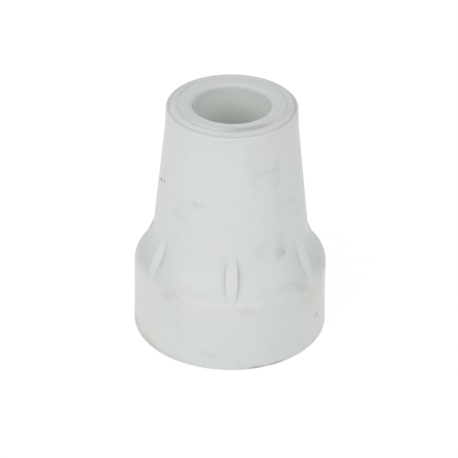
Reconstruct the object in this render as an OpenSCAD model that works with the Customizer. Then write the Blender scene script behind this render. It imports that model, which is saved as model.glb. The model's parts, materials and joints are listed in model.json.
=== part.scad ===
// Rubber tip for the foot of a walking cane: one moulding, in millimetres, +Z up.
// The flat sole lies on z = 0, and the socket for the shaft opens upwards on the Z axis.

/* [Overall] */
// Height from the sole to the collar round the mouth
height = 62; // [54:0.5:80]
// Diameter of the foot at its rim
foot_d = 47.7; // [44:0.1:60]

/* [Socket] */
// Diameter of the socket, which is that of the shaft it grips
socket_d = 19; // [14:0.1:23]
// Depth of the socket, from the collar to its floor
socket_depth = 40; // [20:0.5:50]
// Thickness of the socket's wall at the top edge
wall = 6.5; // [5:0.1:9]
// Radius of the round at the mouth
mouth_round = 1.25; // [0.2:0.05:1.5]
// Radius of the round between the socket's wall and its floor
floor_round = 1.5; // [0.5:0.1:4]

/* [Mouth] */
// Width of the flat collar, beyond the round at the mouth
collar_width = 2.3; // [1:0.1:3]
// Height of the collar above the top edge
collar_rise = 0.75; // [0.5:0.05:2]
// Depth of the step from the collar down to the bead around it
collar_step = 0.4; // [0.25:0.05:0.6]
// Radius of the round on the collar's outer edge
collar_round = 0.2; // [0.05:0.05:0.2]
// Height of the bead's back above the straight line between its two sides
bead_crown = 0.25; // [0.05:0.05:0.4]
// Width of the land between the bead and the outside of the body
edge_land = 0.65; // [0.55:0.05:0.9]
// Depth of the crease where the bead meets that land
edge_crease = 0.15; // [0.05:0.05:0.3]
// Radius of the round on the top edge
edge_round = 0.5; // [0.1:0.05:0.5]

/* [Socket body] */
// Height of the band under the top edge, which hardly tapers
band_height = 5.2; // [2:0.1:12]
// Widening of the band's radius for each millimetre downwards
band_taper = 0.035; // [0:0.005:0.1]
// Widening of the body's radius for each millimetre below the band
body_taper = 0.103; // [0.06:0.001:0.13]

/* [Foot] */
// Height at which the cove would meet the foot's wall without the rim's round
rim_height = 18.8; // [12:0.1:24]
// Radius of the cove between the socket body and the rim
cove_radius = 14.5; // [10:0.5:20]
// Radius of the round on the rim
rim_round = 2.5; // [0.3:0.1:3]
// Widening of the foot's radius from the rim to the sole
foot_flare = 0.2; // [0:0.05:1]
// Height above the sole at which the foot starts to widen
flare_height = 9; // [4:0.5:11]
// Radius of the round at the edge of the sole
sole_round = 0.75; // [0.2:0.05:2]

/* [Ribs] */
// Number of ribs across the cove
rib_count = 6; // [3:1:9]
// Radius of a rib's round back
rib_radius = 1.65; // [1.2:0.05:3]
// Height of a rib's upper end above the rim
rib_height = 11.8; // [9:0.1:16]
// Depth of a rib's lower end under the rim's round
rib_inset = 0.02; // [0.02:0.01:0.2]

/* [Hidden] */

// Flats on a round surface in a preview
$fn = 180;
// Largest turn between two points on a round stretch of the section, in degrees
arc_step = 3;
// Length of a rib that runs on inside the socket body
rib_bury = 3;

rim_r = foot_d / 2;
sole_r = rim_r + foot_flare;
socket_r = socket_d / 2;
floor_z = height - socket_depth;
collar_r = socket_r + mouth_round + collar_width;
top_r = socket_r + wall;
top_z = height - collar_rise;
crease = [top_r - edge_land, top_z - edge_crease];
band = [top_r + band_taper * band_height, top_z - band_height];

// Radius of the tapered body at a height below the band
function body_r(z) = band.x + body_taper * (band.y - z);

// The cove's circle lies one radius from the tapered body and one radius from the rim
slant = 1 + body_taper * body_taper;
cove_reach = body_r(0) + cove_radius * sqrt(slant);
cove_half_b = body_taper * (cove_reach - rim_r) + rim_height;
cove_c = pow(cove_reach - rim_r, 2) + pow(rim_height, 2) - pow(cove_radius, 2);
cove_z = (cove_half_b + sqrt(pow(cove_half_b, 2) - slant * cove_c)) / slant;
cove_x = cove_reach - body_taper * cove_z;

// The rim's round touches the foot's wall and the cove
rim_c_x = rim_r - rim_round;
rim_c_z = cove_z - sqrt(pow(cove_radius + rim_round, 2) - pow(cove_x - rim_c_x, 2));
rim_turn = atan2(cove_z - rim_c_z, cove_x - rim_c_x);

// A rib's back runs straight up from the rim's round, with the slope that the round has there
rib_head = [body_r(rim_height + rib_height), rim_height + rib_height];
rib_reach = rib_head - [rim_c_x, rim_c_z];
rib_offset = rim_round - rib_inset;
rib_lean = atan2(rib_reach.y, rib_reach.x) - acos(rib_offset / norm(rib_reach));
rib_length = sqrt(pow(norm(rib_reach), 2) - pow(rib_offset, 2));

// Points round a centre, from one angle to another
function arc(c, r, from, to) =
    let (n = ceil(abs(to - from) / arc_step))
    [for (i = [0 : n]) let (a = from + (to - from) * i / n) c + r * [cos(a), sin(a)]];

// Points from p to q along an arc that bulges to the right of that way
function bulge(p, q, crown) =
    let (chord = norm(q - p),
         r = (chord * chord / 4 + crown * crown) / (2 * crown),
         right = [q.y - p.y, p.x - q.x] / chord,
         middle = atan2(right.y, right.x),
         half = asin(chord / 2 / r))
    arc((p + q) / 2 - (r - crown) * right, r, middle - half, middle + half);

// Half of the section, anticlockwise from the middle of the sole
function section() = concat(
    [[0, 0]],
    arc([sole_r - sole_round, sole_round], sole_round, -90, 0),
    [[rim_r, flare_height]],
    arc([rim_c_x, rim_c_z], rim_round, 0, rim_turn),
    arc([cove_x, cove_z], cove_radius, 180 + rim_turn, 180 + atan(body_taper)),
    [band],
    arc([top_r - edge_round, top_z - edge_round], edge_round, 0, 90),
    bulge(crease, [collar_r, height - collar_step], bead_crown),
    arc([collar_r - collar_round, height - collar_round], collar_round, 0, 90),
    arc([socket_r + mouth_round, height - mouth_round], mouth_round, 90, 180),
    arc([socket_r - floor_round, floor_z + floor_round], floor_round, 0, -90),
    [[0, floor_z]]
);

// One rib: a round bar with only its back showing
module rib() {
    translate([rim_c_x, 0, rim_c_z])
        rotate([0, -rib_lean, 0])
            translate([rib_offset - rib_radius, 0, 0])
                cylinder(r = rib_radius, h = rib_length + rib_bury);
}

// The whole tip, with one rib facing -Y
module cane_tip() {
    color("gainsboro") {
        rotate_extrude() polygon(section());
        for (i = [0 : rib_count - 1])
            rotate([0, 0, 360 * i / rib_count - 90]) rib();
    }
}

cane_tip();
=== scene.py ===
# %% [markdown]
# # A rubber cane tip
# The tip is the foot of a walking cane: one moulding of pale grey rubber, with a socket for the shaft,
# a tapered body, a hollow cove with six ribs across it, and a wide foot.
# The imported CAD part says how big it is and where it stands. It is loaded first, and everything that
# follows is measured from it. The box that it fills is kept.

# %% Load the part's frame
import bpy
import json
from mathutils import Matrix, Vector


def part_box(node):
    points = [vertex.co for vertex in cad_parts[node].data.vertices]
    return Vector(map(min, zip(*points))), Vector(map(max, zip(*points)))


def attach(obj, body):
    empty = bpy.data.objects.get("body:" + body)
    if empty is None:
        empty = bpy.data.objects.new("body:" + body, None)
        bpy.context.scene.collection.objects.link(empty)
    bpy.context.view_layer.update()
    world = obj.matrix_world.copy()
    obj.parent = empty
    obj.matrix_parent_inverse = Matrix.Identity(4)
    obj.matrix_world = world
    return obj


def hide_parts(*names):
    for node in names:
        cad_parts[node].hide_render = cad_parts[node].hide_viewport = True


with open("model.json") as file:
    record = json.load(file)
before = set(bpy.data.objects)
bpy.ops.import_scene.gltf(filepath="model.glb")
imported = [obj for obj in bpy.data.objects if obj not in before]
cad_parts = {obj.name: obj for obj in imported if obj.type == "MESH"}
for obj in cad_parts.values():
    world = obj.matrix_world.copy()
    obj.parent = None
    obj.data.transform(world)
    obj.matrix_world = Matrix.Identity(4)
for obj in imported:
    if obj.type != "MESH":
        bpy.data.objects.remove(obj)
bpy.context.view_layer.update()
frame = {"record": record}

# %% [markdown]
# ## Measures
# A rubber moulder works in millimetres, and Blender's file is in metres, so one factor turns the first
# into the second. The height, the width of the sole and the bore come from the frame. The rest are the
# mould's own small sizes, each with its name.

# %% Sizes that the frame gives
import json
import math
import bmesh
import bpy
from mathutils import Matrix, Vector

MM = 0.001
foot_corner, top_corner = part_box("cane_tip")
height = top_corner.z
sole_radius = top_corner.x
socket = next(mount for mount in frame["record"]["mounts"] if mount["name"] == "socket")
socket_radius = socket["dims"]["r_mm"] * MM
print("from", round(foot_corner.z / MM, 2), "to", round(height / MM, 2), "mm high")
print("sole radius", round(sole_radius / MM, 2), "mm, bore radius", round(socket_radius / MM, 2), "mm")

# %% Sizes of the mould
SOCKET_DEPTH = 40 * MM
WALL = 6.5 * MM
FOOT_FLARE = 0.2 * MM
FLARE_HEIGHT = 9 * MM
RIM_HEIGHT = 18.8 * MM
COVE_RADIUS = 14.5 * MM
BAND_HEIGHT = 5.2 * MM
BAND_TAPER = 0.035
BODY_TAPER = 0.103
COLLAR_RISE = 0.75 * MM

rim_radius = sole_radius - FOOT_FLARE
floor_height = height - SOCKET_DEPTH
edge_radius = socket_radius + WALL
edge_height = height - COLLAR_RISE
band_foot = Vector((edge_radius + BAND_TAPER * BAND_HEIGHT, 0, edge_height - BAND_HEIGHT))
print("rim radius", round(rim_radius / MM, 2), "mm, socket floor at", round(floor_height / MM, 2), "mm")

# %% [markdown]
# ## The section
# A round moulding is the same all the way round, so one half of its section is enough, and the whole
# body comes from turning it. The section could be a curve with a Screw modifier. Here it is drawn in a
# bmesh with a pen: `line_to` pulls the last point out into a straight line, and `arc_to` spins it round
# a centre, as a pair of compasses does. Every line is cut into short pieces, so that later on there are
# enough points to press shapes into the surface.

# %% A pen that draws the section
section = bmesh.new()


def pen_down(x, z):
    """Put the pen on the paper."""
    return section.verts.new((x, 0, z))


def line_to(pen, x, z, pieces=1):
    """Draw a straight line to a point, in a number of pieces."""
    start = pen.co.copy()
    end = Vector((x, 0, z))
    for piece in range(1, pieces + 1):
        pen = bmesh.ops.extrude_vert_indiv(section, verts=[pen])["verts"][0]
        pen.co = start.lerp(end, piece / pieces)
    return pen


def arc_to(pen, centre_x, centre_z, turn, pieces):
    """Draw an arc round a centre. The turn is in degrees, and anticlockwise where it is above zero."""
    drawn = bmesh.ops.spin(section, geom=[pen], cent=(centre_x, 0, centre_z), axis=(0, -1, 0),
                           angle=math.radians(turn), steps=pieces)
    return drawn["geom_last"][0]


# %% [markdown]
# ## Where the cove lies
# The cove is the hollow between the body and the foot. Its round touches the tapered body without a
# corner, and it ends on the rim of the foot. A circle that touches a line has its centre one radius
# away from that line, and a circle through a point has its centre one radius away from that point, so
# the centre is where those two meet. A bisection finds it: the centre slides along the first path until
# the rim is exactly one radius away.

# %% Find the centre of the cove
HALVINGS = 40

lean_of_body = math.atan(BODY_TAPER)


def body_radius(z):
    """Radius of the tapered body at a height below the band."""
    return band_foot.x + BODY_TAPER * (band_foot.z - z)


def cove_centre(z):
    """The point at a height that is one cove radius away from the tapered body."""
    return Vector((body_radius(z) + COVE_RADIUS / math.cos(lean_of_body), 0, z))


rim = Vector((rim_radius, 0, RIM_HEIGHT))
low, high = RIM_HEIGHT, RIM_HEIGHT + COVE_RADIUS
for halving in range(HALVINGS):
    middle = (low + high) / 2
    if (cove_centre(middle) - rim).length < COVE_RADIUS:
        low = middle
    else:
        high = middle
cove = cove_centre(low)
print("the cove's centre is at radius", round(cove.x / MM, 2), "and height", round(cove.z / MM, 2), "mm")

# %% [markdown]
# ## Draw the section
# The pen starts in the middle of the sole and goes round anticlockwise: out along the sole, up the
# foot, over the rim, through the cove and up the body, over the top edge, the crease and the bead,
# across the collar, and down the bore to the middle of the socket's floor. The round of the rim touches
# both the foot's wall and the cove, so its centre lies on the line between the cove's centre and the
# point where they meet.

# %% Foot and cove
SOLE_ROUND = 0.75 * MM
RIM_ROUND = 2.5 * MM

pen = pen_down(0, 0)
pen = line_to(pen, sole_radius - SOLE_ROUND, 0, pieces=4)
pen = arc_to(pen, sole_radius - SOLE_ROUND, SOLE_ROUND, turn=90, pieces=6)
pen = line_to(pen, rim_radius, FLARE_HEIGHT, pieces=6)
rim_centre_x = rim_radius - RIM_ROUND
reach = COVE_RADIUS + RIM_ROUND
rim_centre_z = cove.z - math.sqrt(reach ** 2 - (cove.x - rim_centre_x) ** 2)
rim_turn = math.degrees(math.atan2(cove.z - rim_centre_z, cove.x - rim_centre_x))
pen = line_to(pen, rim_radius, rim_centre_z, pieces=8)
pen = arc_to(pen, rim_centre_x, rim_centre_z, turn=rim_turn, pieces=10)
pen = arc_to(pen, cove.x, cove.z, turn=math.degrees(lean_of_body) - rim_turn, pieces=48)
print("the rim turns by", round(rim_turn, 1), "degrees")

# %% Body, band and top edge
RIB_TOP = 33 * MM
EDGE_ROUND = 0.5 * MM

pen = line_to(pen, body_radius(RIB_TOP), RIB_TOP, pieces=8)
pen = line_to(pen, band_foot.x, band_foot.z, pieces=12)
pen = line_to(pen, edge_radius, edge_height - EDGE_ROUND, pieces=4)
pen = arc_to(pen, edge_radius - EDGE_ROUND, edge_height - EDGE_ROUND, turn=90, pieces=6)
print("the top edge is", round(edge_radius / MM, 2), "mm from the axis")

# %% [markdown]
# ## The mouth
# Inside the top edge a shallow crease runs round, then a low round bead, and then a small step up to
# the flat collar. The bead could be a bevel on an edge, but a bevel follows its edge and the bead's two
# ends lie at different heights. So it is one flat arc between two points, which stands a little above
# the straight line between them, and that height gives its radius.

# %% Crease, bead, collar and bore
EDGE_LAND = 0.65 * MM
EDGE_CREASE = 0.15 * MM
COLLAR_WIDTH = 2.3 * MM
COLLAR_STEP = 0.4 * MM
COLLAR_ROUND = 0.35 * MM
BEAD_CROWN = 0.25 * MM
MOUTH_ROUND = 1.25 * MM
FLOOR_ROUND = 1.5 * MM

collar_radius = socket_radius + MOUTH_ROUND + COLLAR_WIDTH
crease = Vector((edge_radius - EDGE_LAND, 0, edge_height - EDGE_CREASE))
bead_end = Vector((collar_radius, 0, height - COLLAR_STEP))
chord = bead_end - crease
bead_radius = (chord.length ** 2 / 4 + BEAD_CROWN ** 2) / (2 * BEAD_CROWN)
outwards = Vector((chord.z, 0, -chord.x)).normalized()
bead_centre = (crease + bead_end) / 2 - (bead_radius - BEAD_CROWN) * outwards
bead_turn = 2 * math.degrees(math.asin(chord.length / 2 / bead_radius))

pen = line_to(pen, crease.x, crease.z)
pen = arc_to(pen, bead_centre.x, bead_centre.z, turn=bead_turn, pieces=9)
pen = line_to(pen, collar_radius, height - COLLAR_ROUND)
pen = arc_to(pen, collar_radius - COLLAR_ROUND, height - COLLAR_ROUND, turn=90, pieces=5)
pen = line_to(pen, socket_radius + MOUTH_ROUND, height, pieces=3)
pen = arc_to(pen, socket_radius + MOUTH_ROUND, height - MOUTH_ROUND, turn=90, pieces=9)
pen = line_to(pen, socket_radius, floor_height + FLOOR_ROUND, pieces=14)
pen = arc_to(pen, socket_radius - FLOOR_ROUND, floor_height + FLOOR_ROUND, turn=-90, pieces=5)
pen = line_to(pen, 0, floor_height, pieces=3)
print("the section has", len(section.verts), "points")

# %% [markdown]
# ## Where shade is painted and where the backs are paler
# The narrow corners are darkened with painted shade, where the studio's light reaches less, and what
# stands proud is washed paler. Each point of the mesh gets numbers for this, in layers of its own: 1 in
# the bottom of a corner or on top of what stands proud, and less and less away from it. A painted mask
# would do it too, but it would have to be painted again when a size changes. The spin copies the layers
# with the points, and the material reads them later on as attributes. The first corners are the crease
# and the foot of the collar's step, and the bead between them stands proud. The layers for the ribs stay
# empty until the ribs are there.

# %% Mark the corners and the bead of the section
CREASE_REACH = 0.3 * MM
STEP_REACH = 0.8 * MM
BEAD_REACH = 0.9 * MM

crease_layer = section.verts.layers.float.new("crease_shade")
step_layer = section.verts.layers.float.new("step_shade")
section.verts.layers.float.new("root_shade")
bead_layer = section.verts.layers.float.new("bead_back")
section.verts.layers.float.new("rib_back")
bead_top = (crease + bead_end) / 2 + outwards * BEAD_CROWN
step_middle = Vector((collar_radius - COLLAR_STEP / 4, 0, height - COLLAR_STEP / 2))
for vert in section.verts:
    vert[crease_layer] = max(1 - (vert.co - crease).length / CREASE_REACH, 0)
    vert[step_layer] = max(1 - (vert.co - step_middle).length / STEP_REACH, 0)
    vert[bead_layer] = max(1 - (vert.co - bead_top).length / BEAD_REACH, 0)
in_corners = sum(1 for vert in section.verts if vert[crease_layer] + vert[step_layer] > 0)
print("points of the section in the two corners:", in_corners)

# %% [markdown]
# ## Turn the section
# One full spin would give the body the same fine steps everywhere. The ribs need fine steps and the
# stretches between them don't, so one sixth is spun in three parts: fine, coarse and fine. Copies of it,
# a sixth of a turn apart, then make the full round. The copies only touch, so their doubled points are
# merged, which also closes the two poles in the middle of the sole and of the socket's floor.

# %% Spin one sixth, then copy it round
RIB_COUNT = 6
RIB_ZONE = 8
FINE_STEPS = 32
COARSE_STEPS = 34
MERGE = 0.002 * MM

sixth = 360 / RIB_COUNT
bmesh.ops.rotate(section, verts=section.verts, cent=(0, 0, 0),
                 matrix=Matrix.Rotation(math.radians(-90), 3, "Z"))
edge_of_turn = section.verts[:] + section.edges[:]
for turn, steps in ((RIB_ZONE, FINE_STEPS), (sixth - 2 * RIB_ZONE, COARSE_STEPS), (RIB_ZONE, FINE_STEPS)):
    spun = bmesh.ops.spin(section, geom=edge_of_turn, cent=(0, 0, 0), axis=(0, 0, 1),
                          angle=math.radians(turn), steps=steps)
    edge_of_turn = spun["geom_last"]
bmesh.ops.spin(section, geom=section.verts[:] + section.edges[:] + section.faces[:], cent=(0, 0, 0),
               axis=(0, 0, 1), angle=math.radians(360 - sixth), steps=RIB_COUNT - 1, use_duplicate=True)
bmesh.ops.remove_doubles(section, verts=section.verts, dist=MERGE)
body = section
print("the turned body has", len(body.verts), "points and", len(body.faces), "faces")

# %% [markdown]
# ## The ribs
# Each rib is a low bar that lies across the cove, from just inside the rim up to the body. Its back is
# flat with round shoulders, hollow along its length, and narrower towards both ends. It could be six
# bars joined on with a Boolean, but the mould of the real tip leaves a soft root along each side. So the
# points of the body near a rib are pulled outwards instead, to where a soft union of the body and the
# bar has its surface. The union is worked out from two distances: to the bar, and to the body as it was
# turned. At its very ends a rib keeps a hundredth of its width, so that nothing is divided by zero.

# %% Lay out a rib
RIB_HEIGHT = 11.8 * MM
RIB_INSET = 0.15 * MM
RIB_SAG = 0.3 * MM
RIB_HALF_WIDTH = 1.65 * MM
RIB_SHOULDER = 0.65 * MM
RIB_ROOT = 0.3 * MM
THIN_END = 0.01

rib_foot = Vector((rim_radius - RIB_INSET, 0, RIM_HEIGHT))
rib_head = Vector((body_radius(RIM_HEIGHT + RIB_HEIGHT), 0, RIM_HEIGHT + RIB_HEIGHT))
rib_middle = (rib_foot + rib_head) / 2
rib_way = (rib_head - rib_foot).normalized()
rib_back = Vector((rib_way.z, 0, -rib_way.x))
half_length = (rib_head - rib_foot).length / 2
crest_radius = (half_length ** 2 + RIB_SAG ** 2) / (2 * RIB_SAG)
crest_centre = rib_middle + rib_back * (crest_radius - RIB_SAG)
print("a rib is", round(half_length * 2 / MM, 1), "mm long")
print("its back is hollow by", round(RIB_SAG / MM, 2), "mm, at a radius of", round(crest_radius / MM), "mm")


# %% Distance to a rib
def beside_rib(point):
    """The point turned to the rib that is nearest, which then lies over the X axis."""
    angle = math.degrees(math.atan2(point.y, point.x)) + 90
    nearest = round(angle / sixth) * sixth - 90
    return Matrix.Rotation(math.radians(-nearest), 3, "Z") @ point


def narrowing_of_rib(point):
    """1 in the middle of the rib's length, and 0 at its ends."""
    along = (Vector((point.x, 0, point.z)) - rib_middle).dot(rib_way) / half_length
    return math.sqrt(max(1 - along ** 2, THIN_END ** 2))


def gap_to_rib(point):
    """Distance from a point beside the rib to the rib's surface, and below zero inside it."""
    narrowing = narrowing_of_rib(point)
    shoulder = RIB_SHOULDER * narrowing
    above = (Vector((point.x, 0, point.z)) - crest_centre).length - crest_radius
    across = abs(point.y) - (RIB_HALF_WIDTH * narrowing - shoulder)
    down = shoulder - above
    return math.hypot(max(across, 0), max(down, 0)) + min(max(across, down), 0) - shoulder


def soft_union(first, second, root):
    """The smaller of two distances, with a fillet where they are about the same."""
    share = max(root - abs(first - second), 0) / root
    return min(first, second) - share ** 2 * root / 4


# %% [markdown]
# ## Raise the ribs
# Only the points near a rib are looked at. For each of them a bisection tries how far it has to move
# straight outwards to reach the soft union. While the points pass, the layers for the ribs are filled: the
# roots get painted shade, and the backs are marked for the paler washes. No point moves out past the rim,
# so the ribs stay inside the foot's outline.

# %% Pull the surface out over the ribs
RIB_REACH = 2.6 * MM
RIB_START = 2.2 * MM
COVE_SLOPE = 0.85
ROOT_REACH = 0.55 * MM
ROOT_FADE = 3
FULL_BACK_LIFT = 0.7 * MM
LIFT_HALVINGS = 16

root_layer = body.verts.layers.float["root_shade"]
rib_layer = body.verts.layers.float["rib_back"]
raised = 0
tallest = 0
for vert in body.verts:
    radius = vert.co.xy.length
    if not (RIM_HEIGHT - RIB_REACH < vert.co.z < RIB_TOP and radius > socket_radius + WALL / 2):
        continue
    turned = beside_rib(vert.co)
    if abs(turned.y) > RIB_REACH:
        continue
    from_root = abs(gap_to_rib(turned))
    vert[root_layer] = max(1 - from_root / ROOT_REACH, 0) * narrowing_of_rib(turned) ** ROOT_FADE
    outward = Vector((turned.x, turned.y, 0)).normalized()
    near, far = 0, RIB_START
    for halving in range(LIFT_HALVINGS):
        lift = (near + far) / 2
        if soft_union(lift * COVE_SLOPE, gap_to_rib(turned + outward * lift), RIB_ROOT) < 0:
            near = lift
        else:
            far = lift
    lift = min(near, max(rim_radius - radius, 0))
    if lift > 0:
        raised += 1
        vert[rib_layer] = min(lift / FULL_BACK_LIFT, 1)
        tallest = max(tallest, lift)
        vert.co += Vector((vert.co.x, vert.co.y, 0)).normalized() * lift
print("points raised over the ribs:", raised, "and the highest by", round(tallest / MM, 2), "mm")

# %% [markdown]
# ## Close the mesh
# The spin leaves its faces turned one way or the other, so their outsides are found again once the
# doubles are merged. A count of open edges shows that the seam and the poles are closed. The edges of
# the moulding are rounded in the section itself, so every face is shaded smooth.

# %% Make the mesh object
CUBIC_CM = 0.01 ** 3

bmesh.ops.recalc_face_normals(body, faces=body.faces)
open_edges = sum(1 for edge in body.edges if len(edge.link_faces) != 2)
for face in body.faces:
    face.smooth = True
triangles = sum(len(face.verts) - 2 for face in body.faces)
volume = body.calc_volume(signed=True)
tip_mesh = bpy.data.meshes.new("tip_moulding")
body.to_mesh(tip_mesh)
body.free()
tip = bpy.data.objects.new("tip_moulding", tip_mesh)
bpy.context.scene.collection.objects.link(tip)
print("open edges:", open_edges, "triangles:", triangles, "volume:", round(volume / CUBIC_CM, 2), "cm3")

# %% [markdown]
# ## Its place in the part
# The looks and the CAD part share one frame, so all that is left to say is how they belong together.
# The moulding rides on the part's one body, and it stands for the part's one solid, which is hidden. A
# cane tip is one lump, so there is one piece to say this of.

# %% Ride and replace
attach(tip, "root")
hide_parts("cane_tip")
print(tip.name, "rides on the body root and stands for the solid cane_tip")

# %% [markdown]
# ## Grey rubber
# The rubber is a pale grey with a little green in it, matt, and slightly soiled. A faint sheen lightens
# it where it turns away, as the bloom on old rubber does. From here on its colour is built up in thin
# washes, one laid over the other, and each wash has a mask that says where it shows. A painted image
# could carry all this, but it would need an unwrapped surface, and it would have to be painted again
# when a size changes.

# %% Start the material
GREY = (0.66, 0.69, 0.68, 1)
SPECULAR = 0.5
SHEEN = 0.35
SHEEN_ROUGHNESS = 0.3

rubber = bpy.data.materials.new("grey_rubber")
rubber.use_nodes = True
rubber_nodes = rubber.node_tree.nodes
rubber_links = rubber.node_tree.links
shader = rubber_nodes["Principled BSDF"]
shader.inputs["Specular IOR Level"].default_value = SPECULAR
shader.inputs["Sheen Weight"].default_value = SHEEN
shader.inputs["Sheen Roughness"].default_value = SHEEN_ROUGHNESS
tip_mesh.materials.append(rubber)
print("the grey under all the washes:", GREY[:3])

# %% [markdown]
# ## Tools for the washes
# Every wash needs the same few things: sums on numbers and on places, a soft step between two values, a
# cloud of noise, and a way to lay one colour over another. Each of them is one node. The nodes could be
# placed by hand in the shader editor, but there would be hundreds of them, so a small function adds each
# one and joins it up, and a wash is then one line.


# %% Sums and soft steps
def feed(value, inlet):
    """Give a node's input a number or a colour, or join it to another node's output."""
    if isinstance(value, bpy.types.NodeSocket):
        rubber_links.new(value, inlet)
    else:
        inlet.default_value = value


def maths(operation, first, second=0.0):
    """A sum on one or two numbers."""
    made = rubber_nodes.new("ShaderNodeMath")
    made.operation = operation
    feed(first, made.inputs[0])
    feed(second, made.inputs[1])
    return made.outputs[0]


def both(first, second):
    """The mask that shows where two masks do."""
    return maths("MULTIPLY", first, second)


def vector_sum(operation, first, second):
    """A sum on two vectors."""
    made = rubber_nodes.new("ShaderNodeVectorMath")
    made.operation = operation
    feed(first, made.inputs[0])
    feed(second, made.inputs[3] if operation == "SCALE" else made.inputs[1])
    return made.outputs["Value"] if operation == "LENGTH" else made.outputs["Vector"]


def steps_between(value, start, end):
    """0 at the start value and before it, 1 at the end value and past it, and a soft step between."""
    made = rubber_nodes.new("ShaderNodeMapRange")
    made.interpolation_type = "SMOOTHSTEP"
    feed(value, made.inputs["Value"])
    made.inputs["From Min"].default_value = start
    made.inputs["From Max"].default_value = end
    return made.outputs["Result"]


# %% Clouds and washes
def cloud(where, size, detail, kind, output="Fac"):
    """Noise whose lumps are about so many millimetres across. Each kind is another pattern."""
    made = rubber_nodes.new("ShaderNodeTexNoise")
    made.noise_dimensions = "4D"
    feed(where, made.inputs["Vector"])
    made.inputs["W"].default_value = kind
    made.inputs["Scale"].default_value = 1 / size
    made.inputs["Detail"].default_value = detail
    return made.outputs[output]


def wash(under, tint, mask, share=1.0):
    """Lay a tint over the colour so far. Where the mask is 1, the share says how much of it covers."""
    made = rubber_nodes.new("ShaderNodeMix")
    made.data_type = "RGBA"
    feed(maths("MULTIPLY", mask, share), made.inputs[0])
    feed(under, made.inputs[6])
    feed((*tint, 1), made.inputs[7])
    return made.outputs[2]


# %% [markdown]
# ## Places on the surface
# A wash has to know where on the tip it is. The object's own coordinates say so, turned into
# millimetres, and they stay put when the tip is moved. The height, the radius and the angle from the
# front come from them. The angle is counted to the right, in degrees. Dirt has no straight edges, so
# there is also a ragged place, which noise pushes about by a millimetre or so.

# %% Places on the surface, in millimetres and degrees
RAGGED_SIZE = 2.5
RAGGED_PUSH = 5.0
NOISE_MIDDLE = (0.5, 0.5, 0.5)

coordinates = rubber_nodes.new("ShaderNodeTexCoord")
place = vector_sum("SCALE", coordinates.outputs["Object"], 1 / MM)
noise = cloud(place, size=RAGGED_SIZE, detail=3, kind=7, output="Color")
wobble = vector_sum("SUBTRACT", noise, NOISE_MIDDLE)
ragged_place = vector_sum("ADD", place, vector_sum("SCALE", wobble, RAGGED_PUSH))


def parts_of(vector):
    """The X, Y and Z of a vector."""
    made = rubber_nodes.new("ShaderNodeSeparateXYZ")
    feed(vector, made.inputs[0])
    return made.outputs["X"], made.outputs["Y"], made.outputs["Z"]


true_x, true_y, true_height = parts_of(place)
ragged_height = parts_of(ragged_place)[2]
true_radius = vector_sum("LENGTH", vector_sum("MULTIPLY", place, (1, 1, 0)), (0, 0, 0))
angle_from_front = maths("DEGREES", maths("ARCTAN2", true_x, maths("MULTIPLY", true_y, -1.0)))
away_from_front = maths("ABSOLUTE", angle_from_front)


def towards(angle, near, far):
    """1 within so many degrees of an angle from the front, and 0 beyond so many."""
    return steps_between(maths("ABSOLUTE", maths("SUBTRACT", angle_from_front, angle)), far, near)


print("nodes so far:", len(rubber_nodes))

# %% [markdown]
# ## Clouds and mottle
# No moulding is one even colour. Age and handling leave warm and cool clouds in it, and the filler in
# the rubber gives a finer mottle. Two slow noises lean the grey towards cream and towards blue, and a
# third one is the mottle. One noise with a colour ramp could do all three, but then the warm, the cool
# and the dark would always lie side by side.

# %% Clouds and mottle
CREAM = (0.68, 0.685, 0.66)
BLUE_GREY = (0.65, 0.69, 0.705)
MOTTLE = (0.61, 0.64, 0.63)
CLOUD_SHARE = 0.5
MOTTLE_SHARE = 0.3

warm_clouds = steps_between(cloud(place, size=16, detail=3, kind=1), start=0.45, end=0.65)
cool_clouds = steps_between(cloud(place, size=22, detail=2, kind=2), start=0.5, end=0.7)
fine_mottle = steps_between(cloud(place, size=3.5, detail=4, kind=3), start=0.5, end=0.75)
colour = wash(GREY, CREAM, warm_clouds, CLOUD_SHARE)
colour = wash(colour, BLUE_GREY, cool_clouds, CLOUD_SHARE)
colour = wash(colour, MOTTLE, fine_mottle, MOTTLE_SHARE)
print("clouds lean the grey to", CREAM, "and", BLUE_GREY)

# %% [markdown]
# ## The yellowed foot
# Pale rubber yellows with light and wear. The foot has turned warmer than the body: all of it round the
# sides, and in front only a patch under the rim. The foot could have a material of its own, but one
# moulding has no seam where the one would end, so this is a wash as well. Each pair of numbers is where
# a mask starts and where it is full.

# %% The yellowed foot
YELLOWED = (0.69, 0.695, 0.665)
FOOT_HEIGHTS = (20.5, 18.0)
SIDE_ANGLES = (35.0, 75.0)
PATCH_HEIGHTS = (12.0, 16.0)
PATCH_ANGLE = -4.0
PATCH_SHARE = 0.6

patch = both(steps_between(ragged_height, *PATCH_HEIGHTS), towards(PATCH_ANGLE, near=10, far=24))
sides = steps_between(away_from_front, *SIDE_ANGLES)
yellowed = maths("MAXIMUM", maths("MULTIPLY", patch, PATCH_SHARE), sides)
colour = wash(colour, YELLOWED, both(steps_between(ragged_height, *FOOT_HEIGHTS), yellowed))
print("the foot is yellowed below", FOOT_HEIGHTS[0], "mm")

# %% [markdown]
# ## Painted light in the socket, and the pale front of the mouth
# The wall of the bore gets a pale wash that is painted light, as from the light inside the socket, and
# painted shade leaves its left side duller. At the front of the mouth the collar is washed paler too. The
# radius tells the wall of the bore from the outside of the body.

# %% Painted light in the socket, and the pale front of the mouth
PALE_AND_BORE_LIGHT = (0.88, 0.91, 0.88)
BORE_RADII = (socket_radius / MM + 0.4, socket_radius / MM + 0.05)
BORE_HEIGHTS = (61.8, 57.0)
SHADED_SIDE_ANGLE = -95.0
SHADED_SIDE_SHARE = 0.45
COLLAR_RADII = (12.6, 9.8)
COLLAR_HEIGHTS = (60.5, 61.2)
COLLAR_SHARE = 0.4

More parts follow.
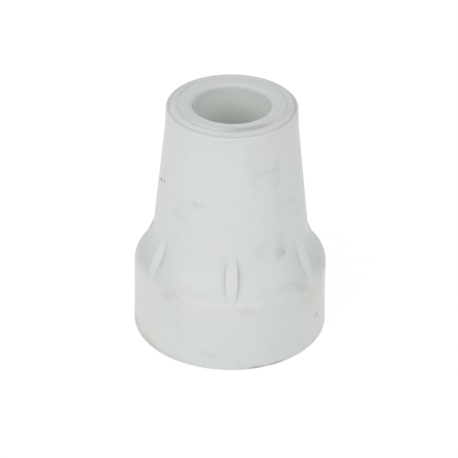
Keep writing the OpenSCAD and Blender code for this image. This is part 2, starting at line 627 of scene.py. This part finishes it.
bore = both(steps_between(true_radius, *BORE_RADII), steps_between(true_height, *BORE_HEIGHTS))
bore_light_share = maths("SUBTRACT", 1.0, maths("MULTIPLY", towards(SHADED_SIDE_ANGLE, near=15, far=50), SHADED_SIDE_SHARE))
colour = wash(colour, PALE_AND_BORE_LIGHT, both(bore, bore_light_share))
front_of_mouth = both(steps_between(true_radius, *COLLAR_RADII), towards(0, near=25, far=60))
front_of_mouth = both(front_of_mouth, steps_between(true_height, *COLLAR_HEIGHTS))
colour = wash(colour, PALE_AND_BORE_LIGHT, front_of_mouth, COLLAR_SHARE)
# The pale wash on the bore is painted light.
print("the bore is clean below", BORE_HEIGHTS[1], "mm")

# %% [markdown]
# ## Grime at the sole
# A cane tip picks up dirt where it meets the ground. It lies low on the foot, in patches, and fades
# upwards. The ragged height gives it an uneven top, and a cloud breaks it up. A ring of dark colour
# would be simpler, but it would look painted on.

# %% Grime at the sole
GRIME = (0.50, 0.48, 0.40)
GRIME_HEIGHTS = (6.5, 1.0)
GRIME_SHARE = 0.45

grime_patches = steps_between(cloud(place, size=12, detail=3, kind=5), start=0.48, end=0.72)
low_down = steps_between(ragged_height, *GRIME_HEIGHTS)
colour = wash(colour, GRIME, both(low_down, grime_patches), GRIME_SHARE)
print("grime reaches up to", GRIME_HEIGHTS[0], "mm")

# %% [markdown]
# ## Painted shade in the hollow, and dirt under the top edge
# The hollow of the cove is darkened with painted shade, with a little dust in it, more round the sides
# than at the front. A fainter, warmer dirt runs round the body just under the top edge, where fingers
# hold the tip. Ambient occlusion could find the hollow, but it would have to be baked, and a range of
# heights finds it too.

# %% Painted shade in the hollow, and dirt under the top edge
HOLLOW_SHADE_AND_DUST = (0.50, 0.53, 0.51)
WARM_DIRT = (0.53, 0.52, 0.45)
HOLLOW_BOTTOM = RIM_HEIGHT / MM
HOLLOW_DEEPEST = 20.5
HOLLOW_TOP = 31.0
HOLLOW_ANGLES = (25.0, 80.0)
HOLLOW_SHARE = 0.42
GRIP_HEIGHTS = (54.0, 60.0)
GRIP_END = (61.3, 60.5)
GRIP_SHARE = 0.12

above_rim = steps_between(true_height, HOLLOW_BOTTOM, HOLLOW_DEEPEST)
below_body = steps_between(true_height, HOLLOW_TOP, HOLLOW_DEEPEST)
hollow = both(both(above_rim, below_body), steps_between(away_from_front, *HOLLOW_ANGLES))
colour = wash(colour, HOLLOW_SHADE_AND_DUST, hollow, HOLLOW_SHARE)
grip = both(steps_between(ragged_height, *GRIP_HEIGHTS), steps_between(true_height, *GRIP_END))
colour = wash(colour, WARM_DIRT, grip, GRIP_SHARE)
# The darkening of the hollow is painted shade with a little dust.
print("the hollow is dirty from", round(HOLLOW_BOTTOM, 1), "to", HOLLOW_TOP, "mm")

# %% [markdown]
# ## Rubbed backs and painted highlights
# What stands proud is rubbed paler: the back of the bead all round. Painted light makes it paler still at
# the back of the mouth and left of its front, and the backs of the side ribs get a painted highlight. The
# front rib is a little yellowed instead. The layers that the mesh carries say where these backs are, so
# the wash stays on them whatever their size. A row of the bead's painted light gives an angle, how far
# from it the wash is full and how far it reaches, and its share.

# %% Rubbed backs and painted highlights
RUBBED_AND_PAINTED_LIGHT = (0.80, 0.82, 0.80)
BEIGE = (0.71, 0.71, 0.675)
BEAD_SHARE = 0.25
BEAD_PAINTED_LIGHT = (
    (180.0, 10.0, 45.0, 0.6),
    (-30.0, 8.0, 28.0, 0.4),
)
SIDE_RIB_ANGLES = (20.0, 40.0)
SIDE_RIB_SHARE = 0.25
FRONT_RIB_ANGLES = (20.0, 10.0)
FRONT_RIB_SHARE = 0.4


def mark(name):
    """The number that each point of the mesh carries under a name."""
    made = rubber_nodes.new("ShaderNodeAttribute")
    made.attribute_name = name
    return made.outputs["Fac"]


colour = wash(colour, RUBBED_AND_PAINTED_LIGHT, mark("bead_back"), BEAD_SHARE)
for angle, near, far, share in BEAD_PAINTED_LIGHT:
    colour = wash(colour, RUBBED_AND_PAINTED_LIGHT, both(mark("bead_back"), towards(angle, near, far)), share)
side_rib_highlight = both(mark("rib_back"), steps_between(away_from_front, *SIDE_RIB_ANGLES))
colour = wash(colour, RUBBED_AND_PAINTED_LIGHT, side_rib_highlight, SIDE_RIB_SHARE)
on_front_rib = both(mark("rib_back"), steps_between(away_from_front, *FRONT_RIB_ANGLES))
colour = wash(colour, BEIGE, on_front_rib, FRONT_RIB_SHARE)
# The side ribs' backs carry a painted highlight, and the bead's back painted light at the back and front
# left.
print("the backs of the bead and of", RIB_COUNT, "ribs are rubbed")

# %% [markdown]
# ## Painted shade in the corners
# A thin dark line of painted shade lies along the roots of the ribs, at the foot of the collar's step and
# in the crease inside the top edge. It isn't even: the step's painted shadow is darkest at the front, the
# crease's shade at the right, and at the back the crease gets a pale wash of painted light. These masks
# come from the layers of the mesh too, each one times an angle from the front.

# %% Painted shade in the corners
CORNER_SHADE = (0.34, 0.35, 0.32)
ROOT_SHARE = 0.26
STEP_ANGLE = 18.0
STEP_SHARE = 0.5
CREASE_ANGLE = 75.0
CREASE_SHARE = 0.35
CREASE_EVERYWHERE = 0.05
CREASE_BACK_ANGLES = (100.0, 130.0)
CREASE_BACK_SHARE = 0.6

colour = wash(colour, CORNER_SHADE, mark("root_shade"), ROOT_SHARE)
step_shadow = both(mark("step_shade"), towards(STEP_ANGLE, near=8, far=40))
colour = wash(colour, CORNER_SHADE, step_shadow, STEP_SHARE)
crease_share = maths("MULTIPLY", towards(CREASE_ANGLE, near=20, far=45), CREASE_SHARE)
crease_share = maths("ADD", crease_share, CREASE_EVERYWHERE)
colour = wash(colour, CORNER_SHADE, both(mark("crease_shade"), crease_share))
crease_back_light = both(mark("crease_shade"), steps_between(away_from_front, *CREASE_BACK_ANGLES))
colour = wash(colour, RUBBED_AND_PAINTED_LIGHT, crease_back_light, CREASE_BACK_SHARE)
# These dark lines are painted shade.
print("dirt lies along the roots, the step and the crease")

# %% [markdown]
# ## Spots
# A smudge is a soft spot in a place of its own, given by its angle from the front and its height. It
# could be an image laid on as a decal, but a spot needs no image: a Mapping node moves it to the middle,
# turns it to face outwards and divides by its size, so that the length of what comes out is 1 at the
# spot's outline. `surface_radius` finds the depth at which it has to lie, from the section's own sizes.

# %% A soft spot
SPOT_OUTLINE = 1.25
SPOT_CORE = 0.1


def surface_radius(z):
    """About how far the outside is from the axis at a height."""
    if z < RIM_HEIGHT:
        return rim_radius
    if z > cove.z:
        return body_radius(z)
    return max(cove.x - math.sqrt(COVE_RADIUS ** 2 - (z - cove.z) ** 2), body_radius(z))


def spot(where, angle, out, z, size, lean):
    """A soft spot at an angle, radius and height. Its size is its width, depth and height, and it leans."""
    turned = math.radians(angle)
    made = rubber_nodes.new("ShaderNodeMapping")
    made.vector_type = "TEXTURE"
    feed(where, made.inputs["Vector"])
    made.inputs["Location"].default_value = (out * math.sin(turned), -out * math.cos(turned), z)
    made.inputs["Rotation"].default_value = (0, math.radians(lean), turned)
    made.inputs["Scale"].default_value = [across / 2 for across in size]
    from_middle = vector_sum("LENGTH", made.outputs["Vector"], (0, 0, 0))
    return steps_between(from_middle, SPOT_OUTLINE, SPOT_CORE)


print("in the cove the outside is", round(surface_radius(cove.z) / MM, 1), "mm from the axis")

# %% [markdown]
# ## Smudges, painted light and painted shade
# A used cane tip has scuffs from kerbs and skirting boards: grey ones on the body and the foot, and a
# few tan and olive ones near the ribs. Some rows paint light and shade instead: pale ones are painted
# light on the right edge of the foot, on the flanks of the side ribs and along the edges of the body,
# and two wide grey ones are painted shade over the rim and the foot of the cove. Noise could scatter the
# scuffs, but scuffs come where things rub, so each is given in a row of its own. They are laid on the
# ragged place, which frays their outlines. A row gives the angle, the height, the width and the
# tallness, then the tint, the share, and how far the smudge leans.

# %% Lay the smudges
GREY_DIRT_AND_SHADE = (0.42, 0.44, 0.43)
TAN_DIRT = (0.52, 0.49, 0.37)
OLIVE_DIRT = (0.50, 0.51, 0.34)
SMUDGE_DEPTH = 8

SMUDGES = (
    (37, 51.5, 3.5, 4.5, GREY_DIRT_AND_SHADE, 0.22, 0),
    (26, 51.0, 8, 2, GREY_DIRT_AND_SHADE, 0.14, 6),
    (18, 50.5, 2.5, 7, GREY_DIRT_AND_SHADE, 0.12, 0),
    (39.5, 47.7, 2.2, 2.5, GREY_DIRT_AND_SHADE, 0.16, 0),
    (39, 42.0, 2.2, 13, GREY_DIRT_AND_SHADE, 0.10, 0),
    (22, 41.5, 3, 3, GREY_DIRT_AND_SHADE, 0.05, 0),
    (21, 46.0, 3, 3, GREY_DIRT_AND_SHADE, 0.06, 0),
    (54, 40.6, 6, 2.2, GREY_DIRT_AND_SHADE, 0.13, 12),
    (64, 36.2, 5, 2, GREY_DIRT_AND_SHADE, 0.12, 12),
    (40, 31.5, 4, 6, GREY_DIRT_AND_SHADE, 0.20, 0),
    (40, 28.6, 4.5, 4, GREY_DIRT_AND_SHADE, 0.30, 0),
    (21, 31.3, 3, 4.5, GREY_DIRT_AND_SHADE, 0.18, 0),
    (15, 57.5, 5, 2, GREY_DIRT_AND_SHADE, 0.07, 25),
    (14, 54.0, 4, 3, GREY_DIRT_AND_SHADE, 0.07, 0),
    (-30, 42.3, 2.6, 2.4, GREY_DIRT_AND_SHADE, 0.32, 0),
    (-25, 43.0, 3.4, 1.6, TAN_DIRT, 0.22, 0),
    (-48, 37.8, 3, 3.5, GREY_DIRT_AND_SHADE, 0.20, 20),
    (-40, 37.0, 4, 2, GREY_DIRT_AND_SHADE, 0.12, 20),
    (-48, 31.6, 6, 3.5, GREY_DIRT_AND_SHADE, 0.08, 0),
    (-6, 29.3, 3, 1.6, TAN_DIRT, 0.14, 0),
    (40, 20.4, 8, 2, OLIVE_DIRT, 0.18, 0),
    (47, 19.0, 6, 3.5, OLIVE_DIRT, 0.30, 0),
    (54, 15.5, 8, 6, OLIVE_DIRT, 0.17, 0),
    (70, 17.4, 5, 3.5, GREY_DIRT_AND_SHADE, 0.28, 0),
    (47, 18.6, 6, 2.5, GREY_DIRT_AND_SHADE, 0.16, 0),
    # The next two rows are painted light on the right edge of the foot.
    (64, 5.5, 16, 12, RUBBED_AND_PAINTED_LIGHT, 0.25, 0),
    (78, 10.5, 8, 9, RUBBED_AND_PAINTED_LIGHT, 0.32, 0),
    (63, 7.6, 1.8, 2.4, GREY_DIRT_AND_SHADE, 0.62, 0),
    (60, 5.6, 2.4, 1.6, GREY_DIRT_AND_SHADE, 0.36, 0),
    (66, 6.0, 2.0, 2.0, GREY_DIRT_AND_SHADE, 0.24, 0),
    (8, 17.5, 5, 2.8, GREY_DIRT_AND_SHADE, 0.22, 0),
    (33, 15.0, 3, 1.6, GREY_DIRT_AND_SHADE, 0.12, 0),
    (-42, 17.9, 4.5, 2.6, GREY_DIRT_AND_SHADE, 0.26, 0),
    (-42, 18.6, 20, 2.4, GREY_DIRT_AND_SHADE, 0.08, 0),
    (-34, 18.8, 4, 1.5, GREY_DIRT_AND_SHADE, 0.26, 0),
    (-33, 12.0, 3, 12, GREY_DIRT_AND_SHADE, 0.06, 0),
    (-32, 7.8, 2.5, 1.2, GREY_DIRT_AND_SHADE, 0.10, 0),
    (-51, 12.3, 4, 1.4, GREY_DIRT_AND_SHADE, 0.14, -12),
    (-17, 4.4, 4, 2.2, GREY_DIRT_AND_SHADE, 0.13, 0),
    (-10, 3.8, 3.5, 2.8, GREY_DIRT_AND_SHADE, 0.18, 0),
    (-12, 10.5, 6, 3, GREY_DIRT_AND_SHADE, 0.06, 0),
    (0, 7.0, 9, 8, GREY_DIRT_AND_SHADE, 0.05, 0),
    (26, 5.0, 5, 6, GREY_DIRT_AND_SHADE, 0.09, 0),
    (-42, 17.0, 12, 3.5, OLIVE_DIRT, 0.10, 0),
    # The next two rows are painted shade over the rim and the foot of the cove.
    (-35, 20.0, 14, 6, GREY_DIRT_AND_SHADE, 0.08, 0),
    (34, 20.0, 14, 6, GREY_DIRT_AND_SHADE, 0.08, 0),
    # The next two rows are painted highlights on the flanks of the side ribs.
    (-60, 23.5, 4, 5, RUBBED_AND_PAINTED_LIGHT, 0.20, 0),
    (60, 23.5, 4, 5, RUBBED_AND_PAINTED_LIGHT, 0.20, 0),
    (-60, 1.4, 14, 2.4, OLIVE_DIRT, 0.35, 0),
    (77, 19.2, 6, 2.6, GREY_DIRT_AND_SHADE, 0.26, 0),
    # The next three rows are painted light along the left and right edges of the body.
    (80, 28.0, 4, 5, RUBBED_AND_PAINTED_LIGHT, 0.30, 0),
    (82, 44.0, 4, 40, RUBBED_AND_PAINTED_LIGHT, 0.14, 0),
    (-82, 44.0, 4, 40, RUBBED_AND_PAINTED_LIGHT, 0.12, 0),
    (20, 53.0, 6, 13, GREY_DIRT_AND_SHADE, 0.07, 0),
    (40, 50.5, 5, 9, GREY_DIRT_AND_SHADE, 0.07, 0),
    (-42, 40.0, 8, 9, GREY_DIRT_AND_SHADE, 0.05, 0),
    (20, 22.0, 4, 4, GREY_DIRT_AND_SHADE, 0.09, 0),
    (-76, 2.6, 8, 3.6, GREY_DIRT_AND_SHADE, 0.34, 0),
)
for angle, z, wide, tall, tint, share, lean in SMUDGES:
    out = surface_radius(z * MM) / MM
    mask = spot(ragged_place, angle, out, z, (wide, SMUDGE_DEPTH, tall), lean)
    colour = wash(colour, tint, mask, share)
print("smudges:", len(SMUDGES))

# %% [markdown]
# ## Sharp little marks
# Some marks are small and keep a clear outline: two dark nicks at the left of the body, specks at the
# left of the mouth, pits beside the top of the right rib, a tan stain and some dirt round the mouth, and
# brown stains at the edge of the sole. A few rows are painted light and shade instead: painted shade in
# the step and on the bead round the mouth, painted light on the right of the mouth and on the land at
# the right back, and painted shade on the left of the mouth. The nicks and pits could be cut into the
# mesh, but it has too few points there to hold them, so they are spots on the true place instead. Here a
# row gives the angle, the radius and the height, then the size as width, depth and height, the tint and
# the share.

# %% Lay the sharp marks
BLACK = (0.03, 0.03, 0.03)
BROWN = (0.30, 0.24, 0.17)

SHARP_MARKS = (
    (-76.5, 17.5, 42.9, (1.4, 2, 1.2), BLACK, 0.95),
    (-69, 17.5, 43.6, (0.8, 2, 0.9), BLACK, 0.7),
    (-71, 17.4, 44.7, (0.5, 2, 0.5), BLACK, 0.4),
    (-92, 9.6, 60.9, (1.0, 1.0, 1.5), BLACK, 0.9),
    (-80, 9.8, 61.3, (0.8, 1.0, 1.3), BLACK, 0.8),
    (-63.5, 22.0, 20.5, (1.0, 3, 0.8), GREY_DIRT_AND_SHADE, 0.7),
    (-57, 24.0, 0.7, (11, 2, 2.0), GREY_DIRT_AND_SHADE, 0.42),
    (-73, 24.0, 0.7, (8, 2, 1.8), GREY_DIRT_AND_SHADE, 0.26),
    (-38, 24.0, 0.7, (12, 2, 1.8), GREY_DIRT_AND_SHADE, 0.20),
    (15, 24.0, 0.4, (5, 2, 1.2), BROWN, 0.7),
    (28, 24.0, 0.4, (5, 2, 1.2), BROWN, 0.8),
    (22, 24.0, 0.2, (14, 2, 1.0), BROWN, 0.4),
    (41.5, 18.8, 28.4, (1.5, 2, 1.4), GREY_DIRT_AND_SHADE, 0.75),
    (36.5, 18.9, 28.6, (0.8, 2, 0.9), GREY_DIRT_AND_SHADE, 0.7),
    (36.5, 18.8, 29.9, (0.5, 2, 0.6), GREY_DIRT_AND_SHADE, 0.6),
    (37.2, 18.9, 27.2, (0.6, 2, 0.6), GREY_DIRT_AND_SHADE, 0.7),
    # The next two rows are painted shade in the step of the collar.
    (18, 12.8, 61.8, (10, 1.3, 2), CORNER_SHADE, 0.25),
    (-65, 12.7, 61.9, (15, 1.2, 2), CORNER_SHADE, 0.12),
    (85, 14.3, 61.4, (12, 2.4, 4), TAN_DIRT, 0.16),
    # This row is painted shade on the bead at the right.
    (65, 14.0, 61.5, (14, 2.0, 3), CORNER_SHADE, 0.13),
    (-125, 15.4, 61.3, (16, 2.4, 4), GREY_DIRT_AND_SHADE, 0.20),
    (-150, 15.6, 61.3, (9, 2.0, 4), GREY_DIRT_AND_SHADE, 0.06),
    (-120, 13.6, 61.6, (17, 1.8, 3), GREY_DIRT_AND_SHADE, 0.26),
    # The next row is painted light on the right of the mouth, and the one after it painted shade on its
    # left.
    (68, 10.2, 61.6, (6, 1.8, 3), RUBBED_AND_PAINTED_LIGHT, 0.40),
    (-78, 10.2, 61.6, (5, 1.8, 3), GREY_DIRT_AND_SHADE, 0.14),
    # This row is painted light on the land at the right back.
    (120, 15.8, 61.3, (12, 1.2, 2), RUBBED_AND_PAINTED_LIGHT, 0.5),
)
for angle, out, z, size, tint, share in SHARP_MARKS:
    colour = wash(colour, tint, spot(place, angle, out, z, size, 0), share)
feed(colour, shader.inputs["Base Color"])
print("sharp marks:", len(SHARP_MARKS))

# %% [markdown]
# ## Gloss and grain
# Moulded rubber is matt, but not evenly so, and a cloud says where it shines a little more. Its skin
# has a slow ripple from the mould and a fine grain. Both are far too shallow to show in the outline, so
# a bump is enough, and the mesh needs no more points for them.

# %% Gloss and grain
SHINIEST = 0.38
GLOSS_RANGE = 0.25
RIPPLE_DEPTH = 0.06 * MM
GRAIN_DEPTH = 0.012 * MM

dulling = maths("MULTIPLY", cloud(place, size=5, detail=4, kind=8), GLOSS_RANGE)
feed(maths("ADD", dulling, SHINIEST), shader.inputs["Roughness"])
ripple = maths("MULTIPLY", cloud(place, size=6, detail=2, kind=9), RIPPLE_DEPTH)
grain = maths("MULTIPLY", cloud(place, size=0.45, detail=3, kind=10), GRAIN_DEPTH)
bump = rubber_nodes.new("ShaderNodeBump")
bump.inputs["Distance"].default_value = 1.0
feed(maths("ADD", ripple, grain), bump.inputs["Height"])
feed(bump.outputs["Normal"], shader.inputs["Normal"])
print("the rubber has", len(rubber_nodes), "nodes")

# %% [markdown]
# ## Camera
# The camera looks down on the tip from the front, about a third of the way up to the zenith, so that
# the mouth, the ribs and the foot all show. It stands well back with a long lens, which keeps the upright
# sides nearly parallel, as in a catalogue. Its place is worked out from two angles and a distance. That is
# easier to change than a position and three turns, and the aim stays on the tip's axis.

# %% Place the camera
CAMERA_AZIMUTH = -1.2
CAMERA_ELEVATION = 31.9
CAMERA_ROLL = 0.72
CAMERA_DISTANCE = 0.6558
CAMERA_LENS = 207.8
SENSOR_WIDTH = 36
AIM_HEIGHT = 26.15 * MM
SHIFT = -0.0035


def direction(azimuth, elevation):
    """The way from the tip to a place around it. The azimuth is counted from the front, to the right."""
    turned, raised_by = math.radians(azimuth), math.radians(elevation)
    return Vector((math.sin(turned) * math.cos(raised_by), -math.cos(turned) * math.cos(raised_by),
                   math.sin(raised_by)))


lens = bpy.data.cameras.new("camera")
lens.lens = CAMERA_LENS
lens.sensor_width = SENSOR_WIDTH
lens.shift_x = SHIFT
camera = bpy.data.objects.new("camera", lens)
bpy.context.scene.collection.objects.link(camera)
camera.rotation_mode = "QUATERNION"
back = direction(CAMERA_AZIMUTH, CAMERA_ELEVATION)
camera.location = Vector((0, 0, AIM_HEIGHT)) + back * CAMERA_DISTANCE
roll = Matrix.Rotation(math.radians(CAMERA_ROLL), 3, "Z").to_quaternion()
camera.rotation_quaternion = back.to_track_quat("Z", "Y") @ roll
bpy.context.scene.camera = camera
print("the camera stands at", [round(part, 3) for part in camera.location], "metres")

# %% [markdown]
# ## What is seen directly
# Paper that is lit as the tip is looks pale grey and not white, and so does a world that is dim enough
# to light the tip softly. Stronger lamps would whiten them, but the tip would be washed out too. A
# switch parts the two: rays that see a thing directly get one answer, and the light that falls on other
# things gets another.


# %% A switch for what is seen directly
def seen_directly(nodes, links):
    """1 for rays from the camera, in reflections and through glass, and 0 for all other light."""
    path = nodes.new("ShaderNodeLightPath")
    total = path.outputs["Is Camera Ray"]
    for kind in ("Is Glossy Ray", "Is Transmission Ray"):
        either = nodes.new("ShaderNodeMath")
        either.operation = "MAXIMUM"
        links.new(total, either.inputs[0])
        links.new(path.outputs[kind], either.inputs[1])
        total = either.outputs[0]
    return total


# %% [markdown]
# ## Floor
# The tip stands on a wide sheet of white paper. Where the paper is seen directly, most of its own light
# is replaced by an even white glow. The rest stays paper, which keeps the soft shadow under the tip.

# %% The sheet on the floor
FLOOR_RADIUS = 3
FLOOR_SIDES = 64

sheet = bmesh.new()
bmesh.ops.create_circle(sheet, cap_ends=True, segments=FLOOR_SIDES, radius=FLOOR_RADIUS)
floor_mesh = bpy.data.meshes.new("floor")
sheet.to_mesh(floor_mesh)
sheet.free()
floor = bpy.data.objects.new("floor", floor_mesh)
bpy.context.scene.collection.objects.link(floor)
print("the floor is", 2 * FLOOR_RADIUS, "metres across")

# %% White paper
PAPER = (0.9, 0.9, 0.9, 1)
GLOW_SHARE = 0.8
GLOW = 1.09

paper = bpy.data.materials.new("white_paper")
paper.use_nodes = True
paper_nodes = paper.node_tree.nodes
paper_links = paper.node_tree.links
paper_shader = paper_nodes["Principled BSDF"]
paper_shader.inputs["Base Color"].default_value = PAPER
paper_shader.inputs["Roughness"].default_value = 1
paper_shader.inputs["Specular IOR Level"].default_value = 0
glow = paper_nodes.new("ShaderNodeEmission")
glow.inputs["Strength"].default_value = GLOW
glow_share = paper_nodes.new("ShaderNodeMath")
glow_share.operation = "MULTIPLY"
glow_share.inputs[1].default_value = GLOW_SHARE
paper_links.new(seen_directly(paper_nodes, paper_links), glow_share.inputs[0])
paper_mix = paper_nodes.new("ShaderNodeMixShader")
paper_links.new(glow_share.outputs[0], paper_mix.inputs[0])
paper_links.new(paper_shader.outputs[0], paper_mix.inputs[1])
paper_links.new(glow.outputs[0], paper_mix.inputs[2])
paper_links.new(paper_mix.outputs[0], paper_nodes["Material Output"].inputs["Surface"])
floor_mesh.materials.append(paper)
print("of the paper's light,", GLOW_SHARE, "is a glow of strength", GLOW)

# %% [markdown]
# ## The world around
# The tip is lit as in a white tent: soft light from all sides. The world gives that, with its light
# turned down to two thirds, while whatever sees it directly finds it white. A ring of lamps could stand
# in for it, but each of them would leave its own shadow.

# %% The world around
WORLD_LIGHT = 0.67

world = bpy.data.worlds.new("studio")
bpy.context.scene.world = world
world.use_nodes = True
world_nodes = world.node_tree.nodes
world_links = world.node_tree.links
strength = world_nodes.new("ShaderNodeMapRange")
strength.inputs["To Min"].default_value = WORLD_LIGHT
strength.inputs["To Max"].default_value = 1
world_links.new(seen_directly(world_nodes, world_links), strength.inputs["Value"])
world_nodes["Background"].inputs["Color"].default_value = (1, 1, 1, 1)
world_links.new(strength.outputs["Result"], world_nodes["Background"].inputs["Strength"])
print("the world lights the tip with a strength of", WORLD_LIGHT)

# %% [markdown]
# ## Lamps
# Two large square lamps stand low, one on each side of the camera, and they give the foot and the body
# their shape. The left one is the stronger. One lamp at the camera would flatten the ribs, and small
# lamps would draw hard shadows. A row gives the name, the azimuth, the elevation and the power.

# %% Lamps
LAMP_DISTANCE = 0.9
LAMP_SIZE = 0.6
SOFTBOXES = (
    ("left_softbox", -45, 20, 2.28),
    ("right_softbox", 45, 20, 1.39),
)


def softbox(name, azimuth, elevation, distance, size, power):
    """A square lamp that faces the tip."""
    lamp = bpy.data.lights.new(name, "AREA")
    lamp.size = size
    lamp.energy = power
    away = direction(azimuth, elevation)
    holder = bpy.data.objects.new(name, lamp)
    holder.location = Vector((0, 0, height / 2)) + away * distance
    holder.rotation_mode = "QUATERNION"
    holder.rotation_quaternion = away.to_track_quat("Z", "Y")
    bpy.context.scene.collection.objects.link(holder)
    return holder


for name, azimuth, elevation, power in SOFTBOXES:
    holder = softbox(name, azimuth, elevation, LAMP_DISTANCE, LAMP_SIZE, power)
    print(holder.name, "stands", round(holder.location.z, 3), "metres up, with", power, "watts")

# %% [markdown]
# ## Plain colours
# Blender's own view of a scene squeezes bright colours together, as film does. The Standard view shows
# each colour as it is written, so the white paper stays white and the grey stays grey.

# %% Show colours as they are
bpy.context.scene.view_settings.view_transform = "Standard"
print("colours are shown by the view", bpy.context.scene.view_settings.view_transform)
